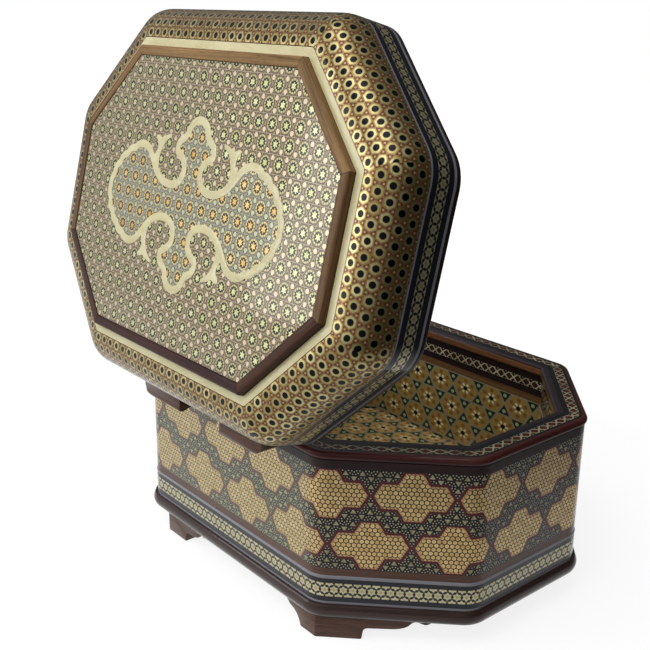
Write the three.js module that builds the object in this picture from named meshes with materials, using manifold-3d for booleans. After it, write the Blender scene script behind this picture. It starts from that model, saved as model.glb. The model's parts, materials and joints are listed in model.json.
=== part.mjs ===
// Khatam jewelry box: an eight-sided inlaid wooden box on bracket feet, with a domed lid hinged at the back.
// Millimetres. X runs along the long sides, the hinge side is +Y, the front is -Y, Z is up and the floor is Z = 0.
// The lid is drawn closed, then turned open about the hinge pins until it lies on its two stops.
import * as THREE from 'three';
import { mergeVertices } from 'three/addons/utils/BufferGeometryUtils.js';
import Module from 'manifold-3d';

// Overall plan: half length, half width and the legs of the four cut corners, at the lid's outer edge
const HALF_LENGTH = 150;
const HALF_WIDTH = 110;
const CORNER_CUT = 64;
const BASE_CORNER_RADIUS = 18;
const LID_CORNER_RADIUS = 24;
const ARC_STEPS = 3;
const SHARP = 0.4;

// Heights of the layers of the base, from the floor up
const FOOT_HEIGHT = 14.7;
const MOULDING_HEIGHT = 8.3;
const BAND_HEIGHT = 17.7;
const LOWER_STRIP_HEIGHT = 4.5;
const KHATAM_HEIGHT = 61;
const UPPER_STRIP_HEIGHT = 4.8;
const RIM_HEIGHT = 5;

// Thicknesses and set-backs, measured inwards from the lid's outer edge
const RIM_SET_BACK = 1;
const WALL_SET_BACK = 2.3;
const RIM_WIDTH = 19.5;
const INNER_LIP = 0.8;
const VENEER = 1;
const LINING = 1.5;
const BAND_PROUD = 0.4;
const MOULDING_PROUD = 3.3;
const SEAM = 0.3;

// Rim inlay: where it starts, its width and its depth
const RIM_INLAY_START = 4.5;
const RIM_INLAY_WIDTH = 10;
const RIM_INLAY_DEPTH = 1;
const INLAY_FIT = 0.15;

// Bottom of the box
const BOTTOM_LIFT = 8.5;
const BOTTOM_THICKNESS = 10.3;
const LINING_BORDER_HEIGHT = 21.5;
const LINING_LINE = 0.5;

// Bracket feet
const FOOT_THICKNESS = 8;
const FOOT_SET_BACK = 0.5;
const CORNER_FOOT = { block: 26.8, reach: 66.8, side: 13.7, sideReach: 31.3 };
const SIDE_FOOT = { block: 21.2, reach: 45, side: 13.7, sideReach: 25 };
const SIDE_FOOT_INSET = 13.7;

// Lid: heights above its underside and set-backs from its outer edge
const LID_GAP = 0.4;
const LID_RIM_HEIGHT = 3.5;
const LID_BAND_TOP = 21.2;
const SHOULDER_RISE = 21.7;
const SHOULDER_INSET = 20.4;
const SHOULDER_FULLNESS = 0.88;
const SHOULDER_STEPS = 6;
const BONE_WIDTH = 5.3;
const FRAME_WIDTH = 5.8;
const FRAME_PROUD = 4.1;
const PANEL_DROP = 0.6;
const LID_WALL = 13;
const LID_TOP_THICKNESS = 8;
const OPEN_ANGLE = 76;

// Cartouche in the middle of the lid's panel: reach of its long and short lobes and the width of its bone line
const CARTOUCHE_LONG = 83.5;
const CARTOUCHE_SHORT = 46.5;
const CARTOUCHE_LINE = 4.4;
const CARTOUCHE_STEPS = 2;

// Hinges and their screws
const HINGE_FROM_CORNER = 45;
const HINGE_LENGTH = 21;
const PIN_OUT = 3.2;
const PIN_RADIUS = 0.84;
const PIN_CLEARANCE = 0.06;
const PIN_HEAD_RADIUS = 1.4;
const PIN_HEAD_LENGTH = 0.7;
const KNUCKLE_RADIUS = 2.2;
const KNUCKLE_GAP = 0.3;
const LEAF_THICKNESS = 1.1;
const LEAF_REACH = 9.5;
const SCREW_INSET = 5.4;
const SCREW_SPACING = 11;
const SCREW_RADIUS = 0.9;
const SCREW_HEAD_RADIUS = 1.8;
const SCREW_HEAD_HEIGHT = 0.6;
const SCREW_LENGTH = 7;

// Lid stops: two shaped brackets on the back wall, each behind a hinge
const STOP_LENGTH = 40.5;
const STOP_REACH = 17.2;
const STOP_START = 6.6;
const STOP_DEPTH = 8;
const STOP_BEAD = 2.6;
const STOP_FACE_SET_BACK = 0.7;
const STOP_END_RADIUS = 6;
const STOP_REBATE = 3.4;

const wasm = await Module();
wasm.setup();

// Places along the back, and levels that follow from the heights
const HINGE_SPREAD = HALF_LENGTH - CORNER_CUT - HINGE_FROM_CORNER;
const STOP_OUTER = HINGE_SPREAD + STOP_LENGTH / 2;
const MOULDING_TOP = FOOT_HEIGHT + MOULDING_HEIGHT;
const BAND_TOP = MOULDING_TOP + BAND_HEIGHT;
const KHATAM_BOTTOM = BAND_TOP + LOWER_STRIP_HEIGHT;
const KHATAM_TOP = KHATAM_BOTTOM + KHATAM_HEIGHT;
const WALL_TOP = KHATAM_TOP + UPPER_STRIP_HEIGHT;
const RIM_TOP = WALL_TOP + RIM_HEIGHT;
const LID_BOTTOM = RIM_TOP + LID_GAP;
const BOTTOM_LEVEL = FOOT_HEIGHT + BOTTOM_LIFT;
const FLOOR_LEVEL = BOTTOM_LEVEL + BOTTOM_THICKNESS;
const LINING_FACE = RIM_WIDTH - INNER_LIP;
const WALL_INNER = LINING_FACE - LINING - SEAM;
const WALL_OUTER = WALL_SET_BACK + VENEER + SEAM;
const LID_TOP = LID_BAND_TOP + SHOULDER_RISE;
const PIN_Y = HALF_WIDTH + PIN_OUT;
const PIN_Z = RIM_TOP + LID_GAP / 2;
const PANEL_INSET = SHOULDER_INSET + BONE_WIDTH + FRAME_WIDTH;

// Colours of the woods, the inlays and the metal
const WOODS = {
  dark: { color: 0x3a2a2c, roughness: 0.3, metalness: 0 },
  red: { color: 0x7a3a30, roughness: 0.3, metalness: 0 },
  walnut: { color: 0x6e4a30, roughness: 0.35, metalness: 0 },
  plain: { color: 0x9a7048, roughness: 0.5, metalness: 0 },
  khatam: { color: 0xb59a5a, roughness: 0.25, metalness: 0 },
  lining: { color: 0xa08a3c, roughness: 0.4, metalness: 0 },
  inlay: { color: 0xc9bc8c, roughness: 0.25, metalness: 0 },
  bone: { color: 0xe6dfc0, roughness: 0.3, metalness: 0 },
  brass: { color: 0xb5923c, roughness: 0.35, metalness: 1 },
};

// Corners of the eight-sided outline at an inset, counter-clockwise from the back end of the right side
function corners(inset) {
  const a = HALF_LENGTH - inset;
  const b = HALF_WIDTH - inset;
  const sum = HALF_LENGTH + HALF_WIDTH - CORNER_CUT - inset * Math.SQRT2;
  const x = sum - b;
  const y = sum - a;
  return [[a, y], [x, b], [-x, b], [-a, y], [-a, -y], [-x, -b], [x, -b], [a, -y]];
}

// Outline with its corners rounded, or left sharp where the radius is no more than the least one
function outline(inset, radius) {
  const sharp = corners(inset);
  if (radius <= SHARP) {
    return sharp;
  }
  const round = Math.max(radius - inset, SHARP);
  const points = [];
  for (let i = 0; i < sharp.length; i += 1) {
    const [px, py] = sharp[(i + 7) % 8];
    const [cx, cy] = sharp[i];
    const [nx, ny] = sharp[(i + 1) % 8];
    const start = Math.atan2(cx - px, -(cy - py)) + Math.PI;
    const end = Math.atan2(nx - cx, -(ny - cy)) + Math.PI;
    const turn = ((end - start) % (2 * Math.PI) + 2 * Math.PI) % (2 * Math.PI);
    const middle = start + turn / 2;
    const reach = round / Math.cos(turn / 2);
    const ox = cx - reach * Math.cos(middle);
    const oy = cy - reach * Math.sin(middle);
    for (let k = 0; k <= ARC_STEPS; k += 1) {
      const angle = start + turn * k / ARC_STEPS;
      points.push([ox + round * Math.cos(angle), oy + round * Math.sin(angle)]);
    }
  }
  return points;
}

// Geometry from points and triangles, turned inside out where its volume comes out negative
function fromTriangles(positions, index) {
  let volume = 0;
  const at = (i) => new THREE.Vector3(...positions.slice(3 * i, 3 * i + 3));
  for (let t = 0; t < index.length; t += 3) {
    volume += at(index[t]).dot(at(index[t + 1]).cross(at(index[t + 2])));
  }
  const order = volume > 0 ? index : index.slice().reverse();
  const geometry = new THREE.BufferGeometry();
  geometry.setAttribute('position', new THREE.Float32BufferAttribute(positions, 3));
  geometry.setIndex(order);
  return geometry;
}

// Ring that follows the outline: each point of the closed profile is an inset and a height
function ring(profile, radius) {
  const positions = [];
  const index = [];
  const loops = profile.map(([inset, z]) => outline(inset, radius).map(([x, y]) => [x, y, z]));
  const count = loops[0].length;
  loops.forEach((loop) => loop.forEach((point) => positions.push(...point)));
  for (let p = 0; p < loops.length; p += 1) {
    const next = (p + 1) % loops.length;
    for (let i = 0; i < count; i += 1) {
      const j = (i + 1) % count;
      const a = p * count + i;
      const b = p * count + j;
      const c = next * count + j;
      const d = next * count + i;
      index.push(a, b, c, a, c, d);
    }
  }
  return fromTriangles(positions, index);
}

// Flat ring with a rectangular section
function band(outer, inner, low, high, radius) {
  return ring([[outer, low], [outer, high], [inner, high], [inner, low]], radius);
}

// Extruded plate from a list of plan points
function plate(points, low, high, holes = []) {
  const shape = new THREE.Shape(points.map(([x, y]) => new THREE.Vector2(x, y)));
  shape.holes = holes.map((hole) => new THREE.Path(hole.map(([x, y]) => new THREE.Vector2(x, y))));
  const geometry = new THREE.ExtrudeGeometry(shape, { depth: high - low, bevelEnabled: false, steps: 1 });
  return geometry.translate(0, 0, low);
}

// Box from its least and greatest corners
function block(x0, x1, y0, y1, z0, z1) {
  const geometry = new THREE.BoxGeometry(x1 - x0, y1 - y0, z1 - z0);
  return geometry.translate((x0 + x1) / 2, (y0 + y1) / 2, (z0 + z1) / 2);
}

// Cylinder along X or Z
function rod(radius, low, high, axis, y, z, x = 0, sides = 16) {
  const geometry = new THREE.CylinderGeometry(radius, radius, high - low, sides);
  if (axis === 'x') {
    geometry.rotateZ(Math.PI / 2);
    return geometry.translate((low + high) / 2, y, z);
  }
  geometry.rotateX(Math.PI / 2);
  return geometry.translate(x, y, (low + high) / 2);
}

// Solid for joining and cutting
function solid(geometry) {
  const bare = geometry.clone();
  ['normal', 'uv'].forEach((name) => bare.deleteAttribute(name));
  const welded = mergeVertices(bare, 1e-4);
  const vertProperties = new Float32Array(welded.attributes.position.array);
  const triVerts = new Uint32Array(welded.index.array);
  return new wasm.Manifold(new wasm.Mesh({ numProp: 3, vertProperties, triVerts }));
}

// Geometry of a solid
function surface(body) {
  const mesh = body.getMesh();
  const geometry = new THREE.BufferGeometry();
  geometry.setAttribute('position', new THREE.BufferAttribute(new Float32Array(mesh.vertProperties), 3));
  geometry.setIndex(new THREE.BufferAttribute(new Uint32Array(mesh.triVerts), 1));
  return geometry;
}

// One geometry less each of the others
function cut(geometry, tools) {
  let body = solid(geometry);
  tools.forEach((tool) => { body = body.subtract(solid(tool)); });
  return surface(body);
}

// One geometry joined with each of the others
function join(geometry, others) {
  let body = solid(geometry);
  others.forEach((other) => { body = body.add(solid(other)); });
  return surface(body);
}

const box = new THREE.Group();
const lid = new THREE.Group();

// Adds a named piece to a group
function add(group, name, wood, geometry) {
  const mesh = new THREE.Mesh(geometry, new THREE.MeshStandardMaterial(WOODS[wood]));
  mesh.name = name;
  group.add(mesh);
  return mesh;
}

const SIDES = [
  'back_right', 'back', 'back_left', 'left', 'front_left', 'front', 'front_right', 'right',
];

// Wedge that keeps one side of a ring, between the two mitre planes of that side
function wedge(side, low, high) {
  const outer = corners(-20);
  const inner = corners(45);
  const next = (side + 1) % 8;
  const points = [outer[side], outer[next], inner[next], inner[side]];
  const [ux, uy] = [points[1][0] - points[0][0], points[1][1] - points[0][1]];
  const length = Math.hypot(ux, uy);
  const shift = SEAM / 2 / Math.cos(Math.PI / 8);
  const [sx, sy] = [ux / length * shift, uy / length * shift];
  const trimmed = points.map(([x, y], k) => (k === 0 || k === 3 ? [x + sx, y + sy] : [x - sx, y - sy]));
  return plate(trimmed, low, high);
}

// Screw with a flat head, its axis along Z and its head's top at the given height
function screw(x, y, top, down) {
  const tip = top - down * SCREW_LENGTH;
  const under = top - down * SCREW_HEAD_HEIGHT;
  const taper = tip + down * SCREW_RADIUS;
  const profile = [[0, tip], [SCREW_RADIUS, taper], [SCREW_RADIUS, under], [SCREW_HEAD_RADIUS, under],
    [SCREW_HEAD_RADIUS, top], [0, top]];
  const points = profile.map(([r, z]) => new THREE.Vector2(r, z));
  const geometry = new THREE.LatheGeometry(down > 0 ? points : points.reverse(), 12);
  return geometry.rotateX(Math.PI / 2).translate(x, y, 0);
}

// Clearance hole for a screw, as wide as the screw and a seam all round
function screwHole(x, y, top, down) {
  const ends = [top + down * 1, top - down * (SCREW_LENGTH + SEAM)];
  return rod(SCREW_RADIUS + SEAM, Math.min(...ends), Math.max(...ends), 'z', y, 0, x, 12);
}

// Places of one hinge's two screws
function screwPlaces(centre) {
  const y = HALF_WIDTH - SCREW_INSET;
  return [[centre - SCREW_SPACING / 2, y], [centre + SCREW_SPACING / 2, y]];
}

const HINGES = [['left', -HINGE_SPREAD], ['right', HINGE_SPREAD]];
const LEAF_LOW = RIM_TOP - LEAF_THICKNESS;
const LID_LEAF_HIGH = LID_BOTTOM + LEAF_THICKNESS;
const HEAD_SINK = 0.1;

// Pockets for the leaves, in the rim below and in the lid's rim above
function leafPockets(low, high) {
  const half = HINGE_LENGTH / 2 + SEAM;
  const back = HALF_WIDTH + 1;
  const front = HALF_WIDTH - LEAF_REACH - SEAM;
  return HINGES.map(([, x]) => block(x - half, x + half, front, back, low, high));
}

// Holes for every screw of the base or of the lid
function hingeHoles(top, down) {
  return HINGES.flatMap(([, x]) => screwPlaces(x).map(([sx, sy]) => screwHole(sx, sy, top, down)));
}

// Base walls: eight mitred boards, with their veneers, bands and linings
function buildWalls() {
  const shell = band(WALL_OUTER, WALL_INNER, FOOT_HEIGHT, WALL_TOP, BASE_CORNER_RADIUS);
  const holes = hingeHoles(RIM_TOP - HEAD_SINK, 1);
  SIDES.forEach((side, i) => {
    const piece = solid(shell).intersect(solid(wedge(i, 0, RIM_TOP)));
    const board = side === 'back' ? cut(surface(piece), holes) : surface(piece);
    add(box, `wall_board_${side}`, 'plain', board);
  });
  const face = WALL_SET_BACK;
  const back = WALL_SET_BACK + VENEER;
  const proud = face - BAND_PROUD;
  add(box, 'inlay_band', 'inlay', band(proud, back, MOULDING_TOP, BAND_TOP, BASE_CORNER_RADIUS));
  add(box, 'lower_strip', 'dark', band(face, back, BAND_TOP, KHATAM_BOTTOM, BASE_CORNER_RADIUS));
  add(box, 'wall_khatam', 'khatam', band(face, back, KHATAM_BOTTOM, KHATAM_TOP, BASE_CORNER_RADIUS));
  add(box, 'upper_strip', 'dark', band(face, back, KHATAM_TOP, WALL_TOP, BASE_CORNER_RADIUS));
}

// Moulding round the foot of the walls, with a bulging nose
function buildMoulding() {
  const face = WALL_SET_BACK;
  const out = face - MOULDING_PROUD;
  const inner = WALL_SET_BACK + VENEER;
  const steps = 5;
  const profile = [[inner, MOULDING_TOP]];
  for (let k = 0; k <= steps; k += 1) {
    const t = k / steps;
    const bulge = Math.sin(Math.PI * Math.min(1, 0.12 + 0.82 * t)) ** 0.6;
    profile.push([face - BAND_PROUD + (out - face + BAND_PROUD) * bulge, MOULDING_TOP - MOULDING_HEIGHT * t]);
  }
  profile.push([inner, FOOT_HEIGHT]);
  add(box, 'base_moulding', 'walnut', ring(profile, BASE_CORNER_RADIUS));
}

// Bottom board, its lining and the linings of the walls
function buildInside() {
  const fit = WALL_INNER + SEAM;
  add(box, 'bottom_board', 'plain', plate(outline(fit, SHARP), BOTTOM_LEVEL, FLOOR_LEVEL));
  add(box, 'floor_lining', 'lining', plate(outline(fit, SHARP), FLOOR_LEVEL, FLOOR_LEVEL + LINING));
  const low = FLOOR_LEVEL + LINING;
  const middle = WALL_TOP - LINING_BORDER_HEIGHT;
  add(box, 'wall_lining', 'lining', band(fit, LINING_FACE, low, middle, SHARP));
  add(box, 'lining_border', 'red', band(fit, LINING_FACE - LINING_LINE, middle, WALL_TOP, SHARP));
}

// Rim that the lid closes on, with its let-in inlay
function buildRim() {
  const start = RIM_INLAY_START;
  const end = start + RIM_INLAY_WIDTH;
  const floor = RIM_TOP - RIM_INLAY_DEPTH;
  const nose = RIM_HEIGHT / 2;
  const edge = RIM_SET_BACK + nose;
  const profile = [[edge, WALL_TOP]];
  for (let k = 1; k < 5; k += 1) {
    const angle = Math.PI * k / 5;
    profile.push([edge - nose * Math.sin(angle), WALL_TOP + nose - nose * Math.cos(angle)]);
  }
  profile.push([edge, RIM_TOP], [start, RIM_TOP], [start, floor], [end, floor], [end, RIM_TOP]);
  profile.push([RIM_WIDTH - 1.2, RIM_TOP], [RIM_WIDTH - 0.3, RIM_TOP - 0.5], [RIM_WIDTH, RIM_TOP - 1.5]);
  profile.push([RIM_WIDTH, WALL_TOP]);
  const pockets = leafPockets(LEAF_LOW - SEAM, RIM_TOP + 1);
  const holes = hingeHoles(RIM_TOP - HEAD_SINK, 1);
  add(box, 'rim_frame', 'red', cut(ring(profile, BASE_CORNER_RADIUS), [...pockets, ...holes]));
  const inlay = band(start + INLAY_FIT, end - INLAY_FIT, floor, RIM_TOP, BASE_CORNER_RADIUS);
  add(box, 'rim_inlay', 'inlay', cut(inlay, pockets));
}

// Face of one arm of a foot: along the wall from the corner, and up from the floor
function armShape(length, reach, scrolled) {
  const top = FOOT_HEIGHT;
  const shape = new THREE.Shape();
  shape.moveTo(0, 0);
  shape.lineTo(length - 1.4, 0);
  shape.quadraticCurveTo(length, 0, length, 1.6);
  if (scrolled) {
    const run = reach - length;
    shape.lineTo(length + 0.3, 3.8);
    shape.quadraticCurveTo(length + 0.4, 7.1, length + 3, 7.3);
    shape.lineTo(length + run * 0.45, 7.8);
    shape.quadraticCurveTo(length + run * 0.62, 8.4, length + run * 0.68, 11.6);
    shape.quadraticCurveTo(length + run * 0.74, 14.4, length + run * 0.84, 12.2);
    shape.quadraticCurveTo(length + run * 0.93, 10.6, reach, top);
  } else {
    const run = reach - length;
    shape.quadraticCurveTo(length + run * 0.12, 7.6, length + run * 0.45, 9.4);
    shape.lineTo(length + run * 0.55, 9.8);
    shape.quadraticCurveTo(length + run * 0.62, 12.2, reach, top);
  }
  shape.lineTo(0, top);
  return shape;
}

// Arm of a foot standing on a wall line, from a corner point along a direction
function arm(shape, corner, direction) {
  const geometry = new THREE.ExtrudeGeometry(shape, { depth: FOOT_THICKNESS, bevelEnabled: false, curveSegments: 4 });
  const [dx, dy] = direction;
  const centreSide = Math.sign(dx * -corner[1] - dy * -corner[0]);
  const [nx, ny] = centreSide > 0 ? [-dy, dx] : [dy, -dx];
  const matrix = new THREE.Matrix4();
  matrix.set(dx, 0, nx, corner[0], dy, 0, ny, corner[1], 0, 1, 0, 0, 0, 0, 0, 1);
  geometry.applyMatrix4(matrix);
  const placed = geometry.clone();
  placed.deleteAttribute('normal');
  placed.deleteAttribute('uv');
  const welded = mergeVertices(placed, 1e-4);
  return fromTriangles(Array.from(welded.attributes.position.array), Array.from(welded.index.array));
}

// Foot with a scrolled arm along one wall and a short arm along the other
function foot(name, corner, long, short, size) {
  const scrolled = arm(armShape(size.block, size.reach, true), corner, long);
  const plain = arm(armShape(size.side, size.sideReach, false), corner, short);
  add(box, name, 'walnut', join(scrolled, [plain]));
}

// Feet: one wraps a corner and one stands in from the other corner, and the front pair mirrors them through the centre
function buildFeet() {
  const face = corners(WALL_SET_BACK + FOOT_SET_BACK);
  const slant = Math.SQRT1_2;
  const wrapped = face[2];
  const inset = [face[1][0] - SIDE_FOOT_INSET, face[1][1]];
  const turned = ([x, y]) => [-x, -y];
  foot('foot_back_left', wrapped, [-slant, -slant], [1, 0], CORNER_FOOT);
  foot('foot_back_right', inset, [-1, 0], [slant, -slant], SIDE_FOOT);
  foot('foot_front_right', turned(wrapped), [slant, slant], [-1, 0], CORNER_FOOT);
  foot('foot_front_left', turned(inset), [1, 0], [-slant, slant], SIDE_FOOT);
}

// Stops that carry the open lid; their tops lie along the lid's opened back face
function buildStops() {
  const open = THREE.MathUtils.degToRad(OPEN_ANGLE);
  const wall = -WALL_SET_BACK;
  const under = -RIM_HEIGHT - SEAM;
  const faceHeight = (out) => {
    const along = (out - PIN_OUT + PIN_OUT * Math.cos(open)) / Math.sin(open);
    return LID_GAP / 2 + PIN_OUT * Math.sin(open) + along * Math.cos(open) - SEAM;
  };
  const face = STOP_REACH - STOP_FACE_SET_BACK;
  const neck = STOP_BEAD - STOP_DEPTH + 1.4;
  const shape = new THREE.Shape();
  shape.moveTo(wall, -STOP_DEPTH);
  shape.quadraticCurveTo(4, 2.6 - STOP_DEPTH, 10, 1.2 - STOP_DEPTH);
  shape.quadraticCurveTo(12.5, -STOP_DEPTH, STOP_REACH - STOP_BEAD, -STOP_DEPTH);
  shape.quadraticCurveTo(STOP_REACH, -STOP_DEPTH, STOP_REACH, STOP_BEAD - STOP_DEPTH);
  shape.lineTo(face, neck);
  shape.lineTo(face, faceHeight(face));
  shape.lineTo(STOP_START, faceHeight(STOP_START));
  shape.lineTo(STOP_START, -STOP_REBATE);
  shape.lineTo(SEAM, -STOP_REBATE);
  shape.lineTo(SEAM, under);
  shape.lineTo(wall, under);
  [['left', -1], ['right', 1]].forEach(([side, way]) => {
    const start = Math.min(way * STOP_OUTER, way * (STOP_OUTER - STOP_LENGTH));
    const geometry = new THREE.ExtrudeGeometry(shape, { depth: STOP_LENGTH, bevelEnabled: false, curveSegments: 4 });
    const matrix = new THREE.Matrix4();
    matrix.set(0, 0, 1, start, 1, 0, 0, HALF_WIDTH, 0, 1, 0, RIM_TOP, 0, 0, 0, 1);
    const corner = stopCorner(way);
    add(box, `lid_stop_${side}`, 'walnut', cut(geometry.applyMatrix4(matrix), [corner]));
  });
}

// What is cut off the lower outer corner of a stop to round its end
function stopCorner(way) {
  const low = RIM_TOP - STOP_DEPTH;
  const shape = new THREE.Shape();
  shape.moveTo(STOP_OUTER + 1, low - 1);
  shape.lineTo(STOP_OUTER - STOP_END_RADIUS * 2, low - 1);
  shape.lineTo(STOP_OUTER - STOP_END_RADIUS * 2, low);
  shape.quadraticCurveTo(STOP_OUTER - 1.6, low + 0.4, STOP_OUTER, low + STOP_END_RADIUS);
  shape.lineTo(STOP_OUTER + 1, low + STOP_END_RADIUS);
  const geometry = new THREE.ExtrudeGeometry(shape, { depth: 30, bevelEnabled: false, curveSegments: 4 });
  geometry.rotateX(Math.PI / 2);
  geometry.translate(0, HALF_WIDTH + 25, 0);
  return way > 0 ? geometry : geometry.rotateZ(Math.PI).translate(0, 2 * HALF_WIDTH + 20, 0);
}

// Leaf with its knuckles: the base leaf has two outer knuckles, the lid leaf the middle one
function leaf(centre, low, high, middle) {
  const half = HINGE_LENGTH / 2;
  const third = HINGE_LENGTH / 6;
  const front = HALF_WIDTH - LEAF_REACH;
  const back = HALF_WIDTH - SEAM;
  const spans = middle ? [[-third + KNUCKLE_GAP / 2, third - KNUCKLE_GAP / 2]]
    : [[-half, -third - KNUCKLE_GAP / 2], [third + KNUCKLE_GAP / 2, half]];
  const base = block(centre - half, centre + half, front, back, low, high);
  const parts = spans.flatMap(([x0, x1]) => [
    block(centre + x0, centre + x1, back - 1, PIN_Y, low, high),
    rod(KNUCKLE_RADIUS, centre + x0, centre + x1, 'x', PIN_Y, PIN_Z),
  ]);
  const bore = rod(PIN_RADIUS + PIN_CLEARANCE, centre - half - 1, centre + half + 1, 'x', PIN_Y, PIN_Z);
  const holes = screwPlaces(centre).map(([x, y]) => rod(SCREW_RADIUS + SEAM, low - 1, high + 1, 'z', y, 0, x, 12));
  const sinks = screwPlaces(centre).map(([x, y]) => {
    const deep = SCREW_HEAD_HEIGHT + HEAD_SINK + SEAM / 2;
    const [z0, z1] = middle ? [low - 1, low + deep] : [high - deep, high + 1];
    return rod(SCREW_HEAD_RADIUS + SEAM, z0, z1, 'z', y, 0, x, 12);
  });
  return cut(join(base, parts), [bore, ...holes, ...sinks]);
}

// Pin with a small button at each end
function pin(centre) {
  const half = HINGE_LENGTH / 2 + 0.15;
  const end = half + PIN_HEAD_LENGTH;
  const profile = [[0, -end], [PIN_HEAD_RADIUS * 0.7, -end], [PIN_HEAD_RADIUS, -half - 0.25], [PIN_HEAD_RADIUS, -half],
    [PIN_RADIUS, -half], [PIN_RADIUS, half], [PIN_HEAD_RADIUS, half], [PIN_HEAD_RADIUS, half + 0.25],
    [PIN_HEAD_RADIUS * 0.7, end], [0, end]];
  const geometry = new THREE.LatheGeometry(profile.map(([r, y]) => new THREE.Vector2(r, y)), 16);
  return geometry.rotateZ(-Math.PI / 2).translate(centre, PIN_Y, PIN_Z);
}

// Hinges: base leaves, pins and lid leaves, with two screws in each leaf
function buildHinges() {
  HINGES.forEach(([side, x]) => {
    add(box, `hinge_${side}_base_leaf`, 'brass', leaf(x, LEAF_LOW, RIM_TOP, false));
    add(box, `hinge_${side}_pin`, 'brass', pin(x));
    add(lid, `hinge_${side}_lid_leaf`, 'brass', leaf(x, LID_BOTTOM, LID_LEAF_HIGH, true));
    screwPlaces(x).forEach(([sx, sy], k) => {
      const name = `hinge_${side}_screw_${k + 1}`;
      add(box, `${name}_base`, 'brass', screw(sx, sy, RIM_TOP - HEAD_SINK, 1));
      add(lid, `${name}_lid`, 'brass', screw(sx, sy, LID_BOTTOM + HEAD_SINK, -1));
    });
  });
}

// Section of the lid's rounded shoulder, at a depth below its outer surface
function shoulder(depth) {
  const points = [];
  for (let k = 0; k <= SHOULDER_STEPS; k += 1) {
    const t = Math.PI / 2 * k / SHOULDER_STEPS;
    const inset = SHOULDER_INSET * (1 - Math.cos(t) ** SHOULDER_FULLNESS);
    const rise = SHOULDER_RISE * Math.sin(t) ** SHOULDER_FULLNESS;
    const lean = Math.min(1, Math.max(0, k / SHOULDER_STEPS));
    const angle = Math.PI / 2 * lean;
    points.push([inset + depth * Math.cos(angle), LID_BAND_TOP + rise - depth * Math.sin(angle)]);
  }
  return points;
}

// Lid: rim, eight mitred boards, top board and the skins that cover them
function buildLidShell() {
  const base = LID_BOTTOM;
  const raise = (points) => points.map(([inset, v]) => [inset, base + v]);
  const rim = LID_RIM_HEIGHT;
  const rimProfile = raise([[1, 0], [0.3, 0.4], [0, 1.2], [0, rim - 0.6], [0.4, rim], [RIM_WIDTH, rim], [RIM_WIDTH, 0]]);
  const pockets = leafPockets(LID_BOTTOM - 1, LID_LEAF_HIGH + SEAM);
  const holes = hingeHoles(LID_BOTTOM + HEAD_SINK, -1);
  add(lid, 'lid_rim', 'dark', cut(ring(rimProfile, LID_CORNER_RADIUS), [...pockets, ...holes]));

  const start = rim + SEAM;
  const boardInner = VENEER + SEAM + LID_WALL;
  const curve = shoulder(VENEER + SEAM).filter(([inset]) => inset < boardInner);
  const last = curve[curve.length - 1];
  const shell = ring(raise([[VENEER + SEAM, start], ...curve, [boardInner, last[1]], [boardInner, start]]),
    LID_CORNER_RADIUS);
  SIDES.forEach((side, i) => {
    const piece = solid(shell).intersect(solid(wedge(i, LID_BOTTOM, LID_BOTTOM + LID_TOP)));
    const board = side === 'back' ? cut(surface(piece), holes) : surface(piece);
    add(lid, `lid_board_${side}`, 'plain', board);
  });

  add(lid, 'lid_inlay_band', 'inlay', band(0, VENEER, base + start, base + LID_BAND_TOP - SEAM, LID_CORNER_RADIUS));
  const inside = shoulder(VENEER).reverse();
  add(lid, 'lid_shoulder', 'khatam', ring(raise([...shoulder(0), ...inside]), LID_CORNER_RADIUS));
}

// One quarter of the middle line of the cartouche's edge, from the tip of the long lobe to that of the short one
function cartouchePath() {
  const x = CARTOUCHE_LONG;
  const y = CARTOUCHE_SHORT;
  const path = new THREE.Path();
  path.moveTo(x, 0);
  path.quadraticCurveTo(x + 1, 4.5, x - 2.5, 7.5);
  path.quadraticCurveTo(x - 2, 12.5, x - 7, 14.5);
  path.quadraticCurveTo(x - 8, 19.5, x - 13.5, 20.5);
  path.quadraticCurveTo(x - 16, 25, x - 21.5, 25);
  path.bezierCurveTo(x - 25.5, 29.5, x - 33.5, 29, x - 38, 25.5);
  path.bezierCurveTo(40, 21, 35, 9.5, 20.5, 9.3);
  path.bezierCurveTo(11, 9.2, 6.8, 15, 8.2, 20.5);
  path.bezierCurveTo(9.5, 25.5, 14, 25.5, 17.5, y - 18);
  path.quadraticCurveTo(18, y - 12.5, 12.5, y - 10.5);
  path.quadraticCurveTo(9.5, y - 8.5, 8.5, y - 5);
  path.quadraticCurveTo(6, y - 0.2, 0, y);
  return path;
}

// Small forked leaf on the inner curl of the cartouche's edge
function leafPath() {
  const path = new THREE.Path();
  path.moveTo(33.2, 14);
  path.quadraticCurveTo(36.5, 22, 33.2, 28.5);
  path.quadraticCurveTo(30.5, 33, 25.5, 35);
  path.lineTo(26, 36.8);
  path.quadraticCurveTo(32, 35.4, 35.5, 33.6);
  path.quadraticCurveTo(38, 35.5, 41, 34.6);
  path.lineTo(41, 33);
  path.quadraticCurveTo(37.5, 30.5, 38.2, 27);
  path.quadraticCurveTo(39, 24, 42, 22.5);
  return path;
}

// Whole edge of the cartouche, mirrored into its four quarters
function cartouche() {
  const quarter = cartouchePath().getPoints(CARTOUCHE_STEPS).map((point) => [point.x, point.y]);
  const second = quarter.slice(0, -1).reverse().map(([x, y]) => [-x, y]);
  const half = [...quarter, ...second];
  const lower = half.slice(1, -1).reverse().map(([x, y]) => [x, -y]);
  return [...half, ...lower];
}

// The four leaves, each grown by a margin
function leaves(margin) {
  const points = leafPath().getPoints(CARTOUCHE_STEPS).map((point) => [point.x, point.y]).reverse();
  const grown = moved(points, margin);
  return [[1, 1], [-1, 1], [-1, -1], [1, -1]].map(([sx, sy]) => {
    const turnedOver = grown.map(([x, y]) => [sx * x, sy * y]);
    return sx * sy > 0 ? turnedOver : turnedOver.reverse();
  });
}

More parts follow.
